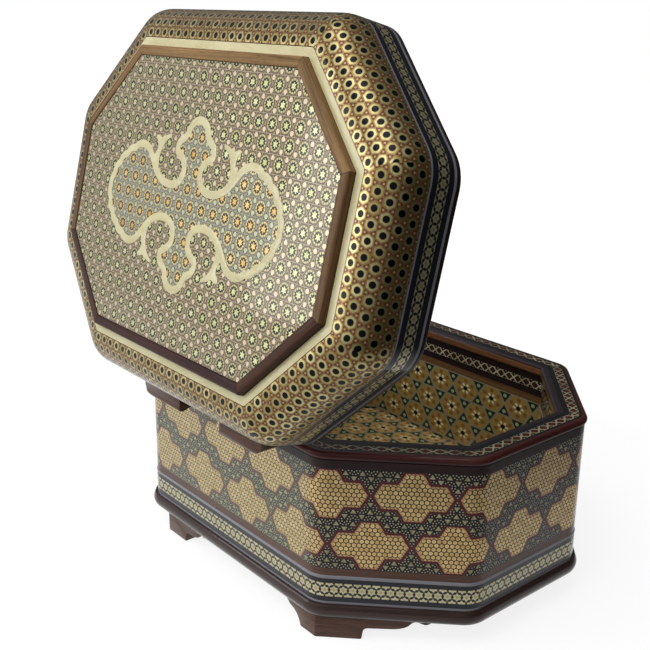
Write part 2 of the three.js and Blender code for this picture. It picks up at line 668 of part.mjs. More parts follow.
// Closed line moved sideways by a distance, along the mean normal at each point
function moved(points, distance) {
  const count = points.length;
  return points.map(([x, y], i) => {
    const [px, py] = points[(i + count - 1) % count];
    const [nx, ny] = points[(i + 1) % count];
    const length = Math.hypot(nx - px, ny - py);
    return [x + (ny - py) / length * distance, y - (nx - px) / length * distance];
  });
}

// Flat top of the lid: board, bone border, raised frame, panel and cartouche
function buildLidTop() {
  const top = LID_BOTTOM + LID_TOP;
  const under = top - VENEER - SEAM;
  const inner = VENEER + SEAM + LID_WALL + SEAM;
  const low = under - LID_TOP_THICKNESS;
  const board = plate(outline(inner, LID_CORNER_RADIUS), low, under - VENEER);
  const raised = plate(outline(SHOULDER_INSET - VENEER - SEAM, LID_CORNER_RADIUS), low, under);
  add(lid, 'lid_top_board', 'plain', join(board, [raised]));
  const bone = SHOULDER_INSET + SEAM + VENEER;
  const frame = SHOULDER_INSET + BONE_WIDTH;
  add(lid, 'bone_border', 'bone', band(bone - VENEER, frame - SEAM, top - VENEER, top, LID_CORNER_RADIUS));
  const profile = [[frame, top - VENEER], [frame, top + FRAME_PROUD - 1], [frame + 1, top + FRAME_PROUD],
    [PANEL_INSET - 0.4, top + FRAME_PROUD], [PANEL_INSET, top + FRAME_PROUD - 0.4], [PANEL_INSET, top - VENEER]];
  add(lid, 'raised_frame', 'walnut', ring(profile, SHARP));
  const deep = top - VENEER;
  const high = top + FRAME_PROUD - PANEL_DROP;
  const half = CARTOUCHE_LINE / 2;
  const edge = cartouche();
  const line = plate(moved(edge, half), deep, high);
  const field = plate(moved(edge, -half), deep - 1, high + 1);
  const sprigs = leaves(0).map((points) => plate(points, deep, high));
  add(lid, 'cartouche_border', 'bone', cut(join(line, sprigs), [field]));
  add(lid, 'cartouche_field', 'khatam', plate(moved(edge, -half - SEAM), deep, high));
  const opening = plate(moved(edge, half + SEAM), deep - 1, high + 1);
  const sprigOpenings = leaves(SEAM).map((points) => plate(points, deep - 1, high + 1));
  const panel = plate(outline(PANEL_INSET + SEAM, SHARP), deep, high);
  add(lid, 'lid_panel', 'khatam', cut(panel, [opening, ...sprigOpenings]));
}

// Linings inside the lid
function buildLidLining() {
  const ceiling = LID_BOTTOM + LID_TOP - VENEER - SEAM - LID_TOP_THICKNESS - SEAM;
  const wall = VENEER + SEAM + LID_WALL + SEAM;
  const start = LID_BOTTOM + LID_RIM_HEIGHT + SEAM;
  const sideTop = ceiling - LINING - SEAM;
  add(lid, 'lid_lining_sides', 'lining', band(wall, wall + LINING, start, sideTop, LID_CORNER_RADIUS));
  add(lid, 'lid_lining_top', 'lining', plate(outline(wall, LID_CORNER_RADIUS), ceiling - LINING, ceiling));
}

buildFeet();
buildMoulding();
buildWalls();
buildInside();
buildRim();
buildStops();
buildHinges();
buildLidShell();
buildLidTop();
buildLidLining();

// Lid turned open about the pins
const turned = new THREE.Group();
turned.position.set(0, PIN_Y, PIN_Z);
turned.rotation.x = -THREE.MathUtils.degToRad(OPEN_ANGLE);
lid.position.set(0, -PIN_Y, -PIN_Z);
turned.add(lid);

// Whole box, moved so that its middle, with the lid open, stands over the origin
const khatamBox = new THREE.Group();
khatamBox.add(box, turned);
khatamBox.updateMatrixWorld(true);
const extent = new THREE.Box3().setFromObject(khatamBox, true);
khatamBox.position.y = -(extent.min.y + extent.max.y) / 2;

export default khatamBox;
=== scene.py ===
import json
import math
import bpy
import bmesh
from mathutils import Matrix, Vector


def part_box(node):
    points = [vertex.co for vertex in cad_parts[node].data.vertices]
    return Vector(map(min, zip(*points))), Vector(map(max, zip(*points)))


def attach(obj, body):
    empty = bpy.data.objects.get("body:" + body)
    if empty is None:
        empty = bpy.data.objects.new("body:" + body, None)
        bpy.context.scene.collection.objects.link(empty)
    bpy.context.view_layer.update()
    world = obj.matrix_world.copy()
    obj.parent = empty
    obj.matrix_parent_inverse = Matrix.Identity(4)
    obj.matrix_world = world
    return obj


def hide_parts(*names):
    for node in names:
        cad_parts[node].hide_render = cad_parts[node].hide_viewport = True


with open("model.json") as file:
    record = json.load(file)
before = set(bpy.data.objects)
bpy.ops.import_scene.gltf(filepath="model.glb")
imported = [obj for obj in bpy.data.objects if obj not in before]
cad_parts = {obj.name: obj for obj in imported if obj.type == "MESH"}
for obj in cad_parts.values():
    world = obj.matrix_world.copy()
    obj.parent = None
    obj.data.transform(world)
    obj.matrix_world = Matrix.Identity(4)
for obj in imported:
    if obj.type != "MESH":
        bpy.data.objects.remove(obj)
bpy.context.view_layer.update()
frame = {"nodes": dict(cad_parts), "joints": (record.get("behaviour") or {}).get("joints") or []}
nodes = frame["nodes"]


def corner_mm(node, end):
    """Lowest (0) or highest (1) corner of a frame piece."""
    return Vector([round(value * 1000.0, 3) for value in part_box(node)[end]])


def middle_mm(node, axis):
    """Middle of a frame piece along an axis."""
    return (corner_mm(node, 0)[axis] + corner_mm(node, 1)[axis]) / 2


def inset_mm(node):
    """How far a frame piece's end lies inside the lid's edge."""
    return HALF_LENGTH - corner_mm(node, 1).x


# The plan is in millimetres round the middle of the closed box, and its insets count from the lid's edge
HALF_LENGTH = corner_mm("lid_rim", 1).x
CORNER_CUT = 64.0
EIGHTH = math.pi / 4
SHIFT_Y = -middle_mm("base_moulding", 1)
WALL_IN = inset_mm("wall_khatam")
HALF_WIDTH = corner_mm("wall_khatam", 1).y - middle_mm("wall_khatam", 1) + WALL_IN
BAND_IN = inset_mm("inlay_band")
MOULDING_IN = inset_mm("base_moulding")
RIM_IN = inset_mm("rim_frame")
BONE_IN = inset_mm("bone_border")
FRAME_IN = inset_mm("raised_frame")
PANEL_IN = inset_mm("lid_panel")
LINING_IN = 18.7
BORDER_IN = 18.2
BORDER_THICKNESS = 0.8
RIM_INNER = 19.5
VENEER = 1.0
SEAM = 0.3
BASE_R = 18.0
LID_R = 24.0

# Levels of the box from the floor up
FOOT_TOP = corner_mm("base_moulding", 0).z
MOULD_TOP = corner_mm("base_moulding", 1).z
BAND_TOP = corner_mm("inlay_band", 1).z
KHATAM_LOW = corner_mm("wall_khatam", 0).z
KHATAM_HIGH = corner_mm("wall_khatam", 1).z
WALL_TOP = corner_mm("upper_strip", 1).z
RIM_TOP = corner_mm("rim_frame", 1).z
FLOOR_TOP = corner_mm("floor_lining", 1).z
FLOOR_LINING = 1.5
BORDER_LOW = corner_mm("lining_border", 0).z

# The rim's rounded edge, the inlaid strip on its top and its inner lip
NOSE = (RIM_TOP - WALL_TOP) / 2
INLAY_START = RIM_IN + NOSE + 1.0
INLAY_WIDTH = 10.0
INLAY_DEPTH = 1.0
INLAY_FIT = 0.15
RIM_LIP = 1.8

# The hinge and the heights of the lid above its own underside
PIN_Y = middle_mm("hinge_left_pin", 1) + SHIFT_Y
PIN_Z = middle_mm("hinge_left_pin", 2)
LEAF_MIDDLE = abs(middle_mm("hinge_left_base_leaf", 0))
LEAF_HALF = corner_mm("hinge_left_base_leaf", 1).x - middle_mm("hinge_left_base_leaf", 0)
OPEN = math.radians(frame["joints"][0]["range_deg"][1])
POCKET_DEPTH = 1.4
LID_GAP = 0.4
LID_BOTTOM = PIN_Z + LID_GAP / 2
LID_EDGE = 3.5
LID_BAND_TOP = 21.2
SHOULDER_RISE = 21.7
SHOULDER_IN = BONE_IN - SEAM
FULLNESS = 0.88
FRAME_PROUD = 4.1
PANEL_DROP = 0.6
INSET_DEPTH = 1.0
LID_TOP = LID_BOTTOM + LID_BAND_TOP + SHOULDER_RISE
PANEL_TOP = LID_TOP + FRAME_PROUD - PANEL_DROP

# The cartouche in the middle of the lid: the reach of its lobes and half the width of its bone line
CARTOUCHE_LONG = 83.5
CARTOUCHE_SHORT = 46.5
BONE_HALF = 2.2

# Pitches and starting places of the marquetry patterns
STAR_PITCH = 5.25
COMB_PITCH = 2.84
WALL_PITCH = 46.4
WALL_PHASE = 21.3
GROUND_PITCH = 9.28
GROUND_ROW = 7.62
SHOULDER_PITCH = 7.45
PANEL_PITCH = 11.1
PANEL_ROW = 9.55
PANEL_ORIGIN = (0.5, 73.5)
FIELD_ORIGIN = (4.0, 0.5)
FLOWER_PITCH = 24.2
FLOWER_ROW = 17.5
FLOWER_PHASE = 6.8
FLOWER_LEVEL = 81.0
CROSS_PITCH = 7.8
BORDER_CROSS_PITCH = 7.35
SIDE_STRIDE = 400.0

# Proportions of a hexagonal cell, and the varnish over everything
ROOT3 = math.sqrt(3)
HALF_ROOT3 = ROOT3 / 2
VERTEX = 1 / ROOT3
VARNISH_IOR = 1.3
# How far the painted sheen on the back wall fades round its corners, in mm
PAINTED_SHEEN_FADE = 14.0


def placed(x, y, z, lid=False):
    """A point of the closed box, in metres in the frame, with the lid turned open about its pins."""
    if lid:
        dy = y - PIN_Y
        dz = z - PIN_Z
        y = PIN_Y + math.cos(OPEN) * dy + math.sin(OPEN) * dz
        z = PIN_Z - math.sin(OPEN) * dy + math.cos(OPEN) * dz
    return Vector((x / 1000.0, (y - SHIFT_Y) / 1000.0, z / 1000.0))


def corners(inset):
    """Corners of the octagon, counted anticlockwise from the right end of the back right side."""
    a = HALF_LENGTH - inset
    b = HALF_WIDTH - inset
    total = HALF_LENGTH + HALF_WIDTH - CORNER_CUT - inset * math.sqrt(2)
    x = total - b
    y = total - a
    return [(a, y), (x, b), (-x, b), (-a, y), (-a, -y), (-x, -b), (x, -b), (a, -y)]


def side_lengths(inset):
    """Lengths of the octagon's eight sides."""
    c = corners(inset)
    return [math.dist(c[k], c[(k + 1) % 8]) for k in range(8)]


def side_bases(inset, radius):
    """Where each side's middle lies along the outline, counted from the middle of the back."""
    r = max(radius - inset, 0.0)
    t = r * math.tan(EIGHTH / 2)
    half = [length / 2 - t for length in side_lengths(inset)]
    bases = {1: 0.0}
    for k in range(2, 9):
        before = (k - 1) % 8
        bases[k % 8] = bases[before] + half[before] + r * EIGHTH + half[k % 8]
    return bases


def plan(inset, radius, steps):
    """Outline points, and for the stretch after each its side and distances from the side's middle."""
    c = corners(inset)
    lengths = side_lengths(inset)
    r = max(radius - inset, 0.0)
    t = r * math.tan(EIGHTH / 2)
    step = r * EIGHTH / steps
    pad = 0.4
    points = []
    stretches = []
    for i in range(8):
        before = (i + 7) % 8
        corner = Vector(c[i])
        d0 = (corner - Vector(c[before])).normalized()
        d1 = (Vector(c[(i + 1) % 8]) - corner).normalized()
        lb = lengths[before] / 2
        la = lengths[i] / 2
        points.append(corner - d0 * (t + pad))
        stretches.append((before, lb - t - pad, lb - t))
        start = corner - d0 * t
        left = Vector((-d0.y, d0.x))
        centre = start + left * r
        for k in range(steps + 1):
            angle = EIGHTH * k / steps
            points.append(centre - left * r * math.cos(angle) + d0 * r * math.sin(angle))
            if k == steps:
                stretches.append((i, -la + t, -la + t + pad))
            elif k < steps / 2:
                stretches.append((before, lb - t + k * step, lb - t + (k + 1) * step))
            else:
                back = (steps - k) * step
                stretches.append((i, -la + t - back, -la + t - back + step))
        points.append(corner + d1 * (t + pad))
        stretches.append((i, -la + t + pad, la - t - pad))
    return points, stretches


def linked(name, data):
    """A new object in the scene."""
    obj = bpy.data.objects.new(name, data)
    bpy.context.scene.collection.objects.link(obj)
    return obj


def finish_mesh(name, bm, material, lid=False, smooth=35.0):
    """Makes the piece, smooth up to an angle in degrees, and lets it ride on the lid or the box."""
    bmesh.ops.recalc_face_normals(bm, faces=bm.faces)
    mesh = bpy.data.meshes.new(name)
    bm.to_mesh(mesh)
    bm.free()
    for polygon in mesh.polygons:
        polygon.use_smooth = True
    mesh.set_sharp_from_angle(angle=math.radians(smooth))
    obj = linked(name, mesh)
    mesh.materials.append(material)
    body = "lid" if lid else "box"
    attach(obj, body)
    return obj


def profile_runs(profile, start):
    """Distance along a closed profile at each of its points, and once more round at its end."""
    runs = [start]
    for (i0, z0), (i1, z1) in zip(profile, profile[1:] + profile[:1]):
        runs.append(runs[-1] + math.hypot(i1 - i0, z1 - z0))
    return runs


def mapped_face(bm, uv, verts, spots):
    """A face with its places in the map."""
    face = bm.faces.new(verts)
    for loop, spot in zip(face.loops, spots):
        loop[uv].uv = spot


def section(outer, inner, low, high):
    """Profile of a rectangular ring, run over from its lower outer edge."""
    return [(outer, low), (outer, high), (inner, high), (inner, low)]


def ring(name, profile, radius, material, lid=False, start=0.0, steps=8, smooth=35.0):
    """Closed ring round the outline, from insets and heights. The map runs along both in mm."""
    bm = bmesh.new()
    uv = bm.loops.layers.uv.new("map")
    loops = []
    marks = []
    for inset, z in profile:
        points, stretches = plan(inset, radius, steps)
        loops.append([bm.verts.new(placed(p.x, p.y, z, lid)) for p in points])
        marks.append(stretches)
    bases = side_bases(profile[0][0], radius)
    runs = profile_runs(profile, start)
    count = len(loops[0])
    for p in range(len(profile)):
        n = (p + 1) % len(profile)
        for j in range(count):
            m = (j + 1) % count
            side, a0, a1 = marks[p][j]
            _, b0, b1 = marks[n][j]
            base = bases[side]
            low = runs[p]
            high = runs[p + 1]
            spots = [(base + a0, low), (base + a1, low), (base + b1, high), (base + b0, high)]
            mapped_face(bm, uv, (loops[p][j], loops[p][m], loops[n][m], loops[n][j]), spots)
    return finish_mesh(name, bm, material, lid, smooth)


def mitred(name, profile, material, lid=False, gap=0.12, smooth=35.0):
    """Ring of eight straight pieces with mitred ends, a hair apart."""
    bm = bmesh.new()
    uv = bm.loops.layers.uv.new("map")
    runs = profile_runs(profile, 0.0)
    count = len(profile)
    for side in range(8):
        base = SIDE_STRIDE * side
        rows = []
        for inset, z in profile:
            c = corners(inset)
            p0 = Vector(c[side])
            p1 = Vector(c[(side + 1) % 8])
            d = (p1 - p0).normalized()
            half = (p1 - p0).length / 2 - gap
            middle = (p0 + p1) / 2
            ends = []
            for a in (-half, half):
                q = middle + d * a
                ends.append((bm.verts.new(placed(q.x, q.y, z, lid)), a))
            rows.append(ends)
        for p in range(count):
            n = (p + 1) % count
            (v0, a0), (v1, a1) = rows[p]
            (v3, a3), (v2, a2) = rows[n]
            low = runs[p]
            high = runs[p + 1]
            spots = [(base + a0, low), (base + a1, low), (base + a2, high), (base + a3, high)]
            mapped_face(bm, uv, (v0, v1, v2, v3), spots)
        spots = [(base + inset, z) for inset, z in profile]
        for end in (0, 1):
            mapped_face(bm, uv, [row[end][0] for row in rows], spots)
    return finish_mesh(name, bm, material, lid, smooth)


def plate(name, outlines, low, high, material, lid=False, soften=0.0, smooth=35.0):
    """Flat piece cut to closed outlines, holes included. The map is its plan in mm."""
    curve = bpy.data.curves.new(name + "_lines", "CURVE")
    curve.dimensions = "2D"
    curve.fill_mode = "BOTH"
    curve.extrude = (high - low) / 2 - soften
    curve.bevel_depth = soften
    curve.bevel_resolution = 2
    curve.offset = -soften
    for points in outlines:
        spline = curve.splines.new("POLY")
        spline.points.add(len(points) - 1)
        for point, (x, y) in zip(spline.points, points):
            point.co = (x, y, 0.0, 1.0)
        spline.use_cyclic_u = True
    holder = linked(name + "_lines", curve)
    bpy.context.view_layer.update()
    source = bpy.data.meshes.new_from_object(holder)
    bpy.data.objects.remove(holder)
    bpy.data.curves.remove(curve)
    bm = bmesh.new()
    bm.from_mesh(source)
    bpy.data.meshes.remove(source)
    bmesh.ops.remove_doubles(bm, verts=bm.verts, dist=0.001)
    for layer in list(bm.loops.layers.uv.values()):
        bm.loops.layers.uv.remove(layer)
    uv = bm.loops.layers.uv.new("map")
    for face in bm.faces:
        for loop in face.loops:
            loop[uv].uv = loop.vert.co.xy
    middle = (low + high) / 2
    for vert in bm.verts:
        x, y, z = vert.co
        vert.co = placed(x, y, middle + z, lid)
    return finish_mesh(name, bm, material, lid, smooth)


def softened(name, source, material, radius):
    """The frame's own carved piece of the box, with its sharp edges rounded off."""
    bm = bmesh.new()
    bm.from_mesh(nodes[source].data)
    bmesh.ops.remove_doubles(bm, verts=bm.verts, dist=0.000001)
    bmesh.ops.dissolve_limit(bm, angle_limit=math.radians(1.0), verts=bm.verts, edges=bm.edges)
    sharp = [edge for edge in bm.edges if edge.calc_face_angle(0.0) > math.radians(40.0)]
    bmesh.ops.bevel(bm, geom=sharp, offset=radius / 1000.0, segments=2, profile=0.5, affect="EDGES")
    obj = finish_mesh(name, bm, material, smooth=30.0)
    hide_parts(source)
    return obj


def stands_for(node):
    """The piece takes the place of a frame node, which is hidden."""
    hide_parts(node)


def rgb(text):
    """Linear colour from a six-figure web colour."""
    values = [int(text[i:i + 2], 16) / 255.0 for i in (0, 2, 4)]
    linear = [v / 12.92 if v <= 0.04045 else ((v + 0.055) / 1.055) ** 2.4 for v in values]
    return (*linear, 1.0)


def operation(kind):
    """A number's method for one step of a sum."""
    def method(self, *others):
        return self.net.math(kind, self, *others)
    return method


class Num:
    """A number in a node tree that can be written in plain sums."""

    def __init__(self, net, socket):
        self.net = net
        self.socket = socket

    def __rsub__(self, other):
        return self.net.math("SUBTRACT", other, self)

    __add__ = operation("ADD")
    __mul__ = operation("MULTIPLY")
    __sub__ = operation("SUBTRACT")
    __truediv__ = operation("DIVIDE")
    less = operation("LESS_THAN")
    more = operation("GREATER_THAN")
    least = operation("MINIMUM")
    most = operation("MAXIMUM")
    size = operation("ABSOLUTE")
    floor = operation("FLOOR")
    wrap = operation("FLOORED_MODULO")
    root = operation("SQRT")


class Net:
    """A node tree, of a new material unless another tree is given."""

    def __init__(self, name, tree=None):
        if tree is None:
            self.material = bpy.data.materials.new(name)
            self.material.use_nodes = True
            tree = self.material.node_tree
        self.tree = tree
        self.tree.nodes.clear()

    def new(self, kind, **settings):
        node = self.tree.nodes.new(kind)
        for key, value in settings.items():
            setattr(node, key, value)
        return node

    def put(self, socket, value):
        if isinstance(value, Num):
            self.tree.links.new(value.socket, socket)
        elif isinstance(value, bpy.types.NodeSocket):
            self.tree.links.new(value, socket)
        elif isinstance(value, str):
            socket.default_value = rgb(value)
        else:
            socket.default_value = value

    def math(self, kind, *values):
        node = self.new("ShaderNodeMath", operation=kind)
        for socket, value in zip(node.inputs, values):
            self.put(socket, value)
        return Num(self, node.outputs[0])

    def parts(self, vector):
        node = self.new("ShaderNodeSeparateXYZ")
        self.put(node.inputs[0], vector)
        return [Num(self, output) for output in node.outputs]

    def map_uv(self):
        node = self.new("ShaderNodeUVMap", uv_map="map")
        return self.parts(node.outputs[0])[:2]

    def map_object(self):
        node = self.new("ShaderNodeTexCoord")
        return [part * 1000.0 for part in self.parts(node.outputs["Object"])]

    def point(self, x, y, z=0.0):
        node = self.new("ShaderNodeCombineXYZ")
        for socket, value in zip(node.inputs, (x, y, z)):
            self.put(socket, value)
        return node.outputs[0]

    def noise(self, place, scale=1.0, detail=3.0, roughness=0.55, distortion=0.0):
        node = self.new("ShaderNodeTexNoise")
        self.put(node.inputs["Vector"], self.point(*place))
        node.inputs["Scale"].default_value = scale
        node.inputs["Detail"].default_value = detail
        node.inputs["Roughness"].default_value = roughness
        node.inputs["Distortion"].default_value = distortion
        return Num(self, node.outputs[0])

    def chance(self, *place):
        """A number of its own for each whole place."""
        node = self.new("ShaderNodeTexWhiteNoise", noise_dimensions="3D")
        self.put(node.inputs["Vector"], self.point(*place))
        return Num(self, node.outputs[0])

    def ramp(self, factor, stops):
        """Colour that runs evenly from stop to stop."""
        node = self.new("ShaderNodeValToRGB")
        elements = node.color_ramp.elements
        while len(elements) > 1:
            elements.remove(elements[-1])
        elements[0].position = stops[0][0]
        elements[0].color = rgb(stops[0][1])
        for position, colour in stops[1:]:
            element = elements.new(position)
            element.color = rgb(colour)
        self.put(node.inputs[0], factor)
        return node.outputs[0]

    def mix(self, factor, first, second):
        node = self.new("ShaderNodeMix", data_type="RGBA")
        self.put(node.inputs[0], factor)
        self.put(node.inputs[6], first)
        self.put(node.inputs[7], second)
        return node.outputs[2]

    def shade(self, colour, amount):
        """The colour made lighter or darker by a number round 1."""
        node = self.new("ShaderNodeVectorMath", operation="SCALE")
        self.put(node.inputs[0], colour)
        self.put(node.inputs["Scale"], amount)
        return node.outputs[0]

    def bump(self, height, strength, distance):
        node = self.new("ShaderNodeBump")
        node.inputs["Strength"].default_value = strength
        node.inputs["Distance"].default_value = distance
        self.put(node.inputs["Height"], height)
        return node.outputs[0]

    def finish(self, shader, kind="ShaderNodeOutputMaterial"):
        """Links the shader to the output."""
        out = self.new(kind)
        self.put(out.inputs[0], shader.outputs[0])

    def blend(self, factor, first, second):
        """One shader where the factor is 0 and the other where it is 1."""
        node = self.new("ShaderNodeMixShader")
        self.put(node.inputs[0], factor)
        self.put(node.inputs[1], first.outputs[0])
        self.put(node.inputs[2], second.outputs[0])
        return node

    def ray(self, kind):
        """1 for rays of a kind."""
        node = self.new("ShaderNodeLightPath")
        return Num(self, node.outputs["Is " + kind + " Ray"])

    def seen(self):
        """1 for what the camera sees, directly or through glass."""
        return self.ray("Camera").most(self.ray("Transmission"))

    def surface(self, values):
        """The material, with the values on its surface's sockets."""
        shader = self.new("ShaderNodeBsdfPrincipled")
        for name, value in values.items():
            self.put(shader.inputs[name], value)
        self.finish(shader)
        return self.material

    def varnished(self, colour, u, v, rough=0.42, metal=0.0, coat=1.0, height=None, waves=0.05):
        """Surface under a thin varnish that is a little uneven."""
        values = {"Base Color": colour, "Roughness": rough, "Metallic": metal, "Coat Weight": coat}
        values.update({"Specular IOR Level": 0.15, "Coat IOR": VARNISH_IOR, "Coat Roughness": 0.07})
        wave = self.noise((u * waves, v * waves), 1.0, 2.0)
        values["Coat Normal"] = self.bump(wave, 0.12, 0.0006)
        if height is not None:
            values["Normal"] = self.bump(height, 0.25, 0.0003)
        return self.surface(values)


def mapped(name):
    """A new material's tree and the two ways of its map."""
    net = Net(name)
    return (net, *net.map_uv())


def hexes(u, v, pitch, row=None):
    """Folds a plane onto one twelfth of a cell of a hexagonal lattice with its rows along u.

    Gives, in pitches, the way towards the nearest neighbour and across it, then the cell's place."""
    row = row or pitch * HALF_ROOT3
    pu = u / pitch
    pv = v * (HALF_ROOT3 / row)
    ax = pu.wrap(1.0) - 0.5
    ay = pv.wrap(ROOT3) - HALF_ROOT3
    bx = (pu - 0.5).wrap(1.0) - 0.5
    by = (pv - HALF_ROOT3).wrap(ROOT3) - HALF_ROOT3
    pick = (ax * ax + ay * ay).less(bx * bx + by * by)
    gx = bx + pick * (ax - bx)
    gy = by + pick * (ay - by)
    cx = pu - gx
    cy = pv - gy
    x = gx.size()
    y = gy.size()
    t = (y * HALF_ROOT3 - x * 0.5).most(0.0)
    return x + t, (y - t * ROOT3).size(), cx, cy


def to_vertex(x, y):
    """A place in the folded cell, measured along the line to the cell's corner and across it."""
    return x * HALF_ROOT3 + y * 0.5, (x * 0.5 - y * HALF_ROOT3).size()


def near(a, b, radius, a0=0.0, b0=0.0):
    """1 inside a small disc."""
    da = a - a0
    db = b - b0
    return (da * da + db * db).less(radius * radius)


def band_material(name, edges, star, phase=0.0):
    """Star band between black bands and pale lines, from the heights of its edges and of its stars."""
    net, u, v = mapped(name)
    middle = (star[0] + star[1]) / 2
    x, y, cx, cy = hexes(u - phase, v - middle, STAR_PITCH)
    toward, _ = to_vertex(x, y)
    black = ((0.5 - x) / 0.175 + y / 0.30).less(1.0)
    tip = toward.more(0.42)
    heart = near(x, y, 0.17)
    chance = net.chance(cx * 2.0, cy * 3.0, 1.0)
    cream = net.mix(heart, "C8C09A", "AC9E6C")
    cream = net.mix(tip, cream, "8C8878")
    cream = net.shade(cream, chance * 0.3 + 0.82)
    stars = net.mix(black, cream, "16140F")
    inside = v.more(star[0]) * v.less(star[1])
    line = v.less(edges[0]) + v.more(edges[1])
    colour = net.mix(inside, "171923", stars)
    colour = net.mix(line, colour, "8E8D94")
    metal = inside * (1.0 - black.most(line)) * 0.6
    return net.varnished(colour, u, v, 0.35, metal)


def cartouche_distance(x, y):
    """How far a place lies outside the wall's cartouche, a wide hexagon laid over a tall one."""
    wide_height = 7.3
    wide_reach = 18.62
    tall_height = 14.2
    tall_reach = 11.1
    slant = x * HALF_ROOT3 + y * 0.5
    wide = (y - wide_height).most(slant - wide_reach)
    tall = (y - tall_height).most(slant - tall_reach)
    return wide.least(tall)


def wall_comb(net, du, dv, offset):
    """Honeycomb of round gold pieces in a dark ground."""
    x, y, cx, cy = hexes(du, dv, COMB_PITCH)
    disc = near(x, y, 0.41)
    heart = near(x, y, 0.17)
    chance = net.chance(cx, cy * 3.0, offset)
    gold = net.mix(chance, "C29E62", "E2C88E")
    gold = net.mix(heart * 0.35, gold, "8A6A38")
    return net.mix(disc, "35280F", gold), disc


def wall_ground(net, du, dv, offset):
    """Dark stars of cream dots between olive triangles."""
    x, y, cx, cy = hexes(du - WALL_PITCH / 2, dv, GROUND_PITCH, GROUND_ROW)
    toward, across = to_vertex(x, y)
    dots = near(toward, across, 0.042, 0.165).most(near(toward, across, 0.042, 0.322, 0.093))
    chance = net.chance(cx * 2.0, cy * 3.0, offset)
    light = net.mix(chance, "88805C", "C2B892")
    colour = net.mix(dots, "0D0D0C", "C0B69C")
    colour = net.mix(y.less(0.012), colour, "060A08")
    return net.mix(toward.more(0.472), colour, light)


def back_wall_painted_sheen(u):
    """Painted sheen standing in for a milky reflection on the varnish: 1 along the back wall, 0 at its
    corners and beyond.
    """
    fade = (HALF_LENGTH - CORNER_CUT - u.size()) / PAINTED_SHEEN_FADE
    return fade.most(0.0).least(1.0)


def wall_material():
    """Gold honeycomb cartouches outlined in red on a dark ground of olive triangles and cream dots, with
    a pale sheen painted on the back wall.
    """
    bars_width = 0.8
    red_width = 1.6
    net, u, v = mapped("wall_marquetry")
    middle = (KHATAM_LOW + KHATAM_HIGH) / 2
    quarter = (KHATAM_HIGH - KHATAM_LOW) / 4
    upper = v.more(middle)
    offset = upper * (WALL_PITCH / 2) + WALL_PHASE
    du = (u - offset + WALL_PITCH / 2).wrap(WALL_PITCH) - WALL_PITCH / 2
    dv = v - (upper * (quarter * 2) + (middle - quarter))
    edge = cartouche_distance(du.size(), dv.size())
    comb, disc = wall_comb(net, du, dv, offset)
    bar = net.math("SINE", (du + dv) * 3.0).more(-0.5)
    bars = net.mix(bar, "6A4A30", "C8A070")
    comb = net.mix((edge + bars_width).more(0.0), comb, bars)
    ground = wall_ground(net, du, dv, offset)
    core = (edge - red_width / 2).size().less(0.28)
    red = net.mix(core, "6A1F20", "35121A")
    inside = edge.less(0.0)
    colour = net.mix(edge.less(red_width), ground, red)
    colour = net.mix(inside, colour, comb)
    # Painted sheen: the back wall's colour is pulled towards pale green-grey, standing in for a
    # reflection
    colour = net.mix(back_wall_painted_sheen(u) * 0.14, colour, "B0C098")
    return net.varnished(colour, u, v, 0.3, inside * disc * 0.9)


def shoulder_material():
    """Black discs in gold hexagons, with pink dots in a net of gold lines on red-brown between them."""
    net, u, v = mapped("shoulder_marquetry")
    first_row = LID_BAND_TOP + 5.2
    x, y, cx, cy = hexes(u, v - first_row, SHOULDER_PITCH)
    toward, across = to_vertex(x, y)
    black = near(x, y, 0.228)
    hexagon = toward.less(0.365) * near(x, y, 0.412)
    line = (toward - 0.41).size().less(0.02)
    dot = near(toward, across, 0.075, VERTEX)
    chance = net.chance(cx * 2.0, cy * 3.0, 2.0)
    speck = net.noise((u, v), 1.1, 2.0)
    gold = net.mix(chance, "9C8C56", "C0B682")
    between = net.mix(speck, "4C2E1A", "704830")
    gap = (toward - 0.378).size().less(0.013)
    between = net.mix(gap, between, "24140A")
    between = net.mix(line, between, "A4844C")
    between = net.mix(dot, between, "B8946C")
    colour = net.mix(hexagon, between, gold)
    colour = net.mix(black, colour, "0E0C12")
    metal = (hexagon * 0.55 + line * 0.4 + 0.4) * (1.0 - gap)
    return net.varnished(colour, u, v, 0.36, metal.least(0.96), 0.45)


def flower_material(name, origin, tones, seed, metal):
    """Flowers of twelve petals round a ring of dark dots, and a ringed pale drop between every three."""
    net, u, v = mapped(name)
    x, y, cx, cy = hexes(u * -1.0 - origin[0], v - origin[1], PANEL_PITCH, PANEL_ROW)
    toward, across = to_vertex(x, y)
    ground, line, round_drop, drop_tone, petal_tone, dark, heart_low, heart_high = tones
    chance = net.chance(cx * 2.0, cy * 3.0, seed)
    speck = net.noise((u, v, seed), 1.3, 2.0)
    heart = net.mix(chance, heart_low, heart_high)
    drop = near(toward, across, 0.12, VERTEX)
    petals = near(x, y, 0.345) * (y - x * 0.268).size().more(0.02)
    dots = near(x, y, 0.056, 0.2077, 0.0556)
    star = near(x, y, 0.118).most(near(toward, across, 0.036, 0.142))
    colour = net.mix(near(toward, across, 0.175, VERTEX), ground, round_drop)
    colour = net.mix((toward - 0.433).size().less(0.014), colour, line)
    colour = net.mix(drop, colour, drop_tone)
    colour = net.mix(petals, colour, petal_tone)
    colour = net.mix(near(x, y, 0.175), colour, dark)
    colour = net.mix(dots, colour, dark)
    colour = net.mix(star, colour, heart)
    colour = net.shade(colour, speck * 0.5 + 0.75)
    pale = drop.most(petals).most(star) * (1.0 - dots)
    return net.varnished(colour, u, v, 0.38, pale * metal + 0.1)


def panel_material():
    """Pale green flowers ringed with dark green dots, on brown with pale drops."""
    tones = ("746248", "B8AC90", "46321F", "C6B69A", "ACA67C", "141C0A", "B0B47C", "CECCA0")
    return flower_material("panel_marquetry", PANEL_ORIGIN, tones, 0.0, 0.6)


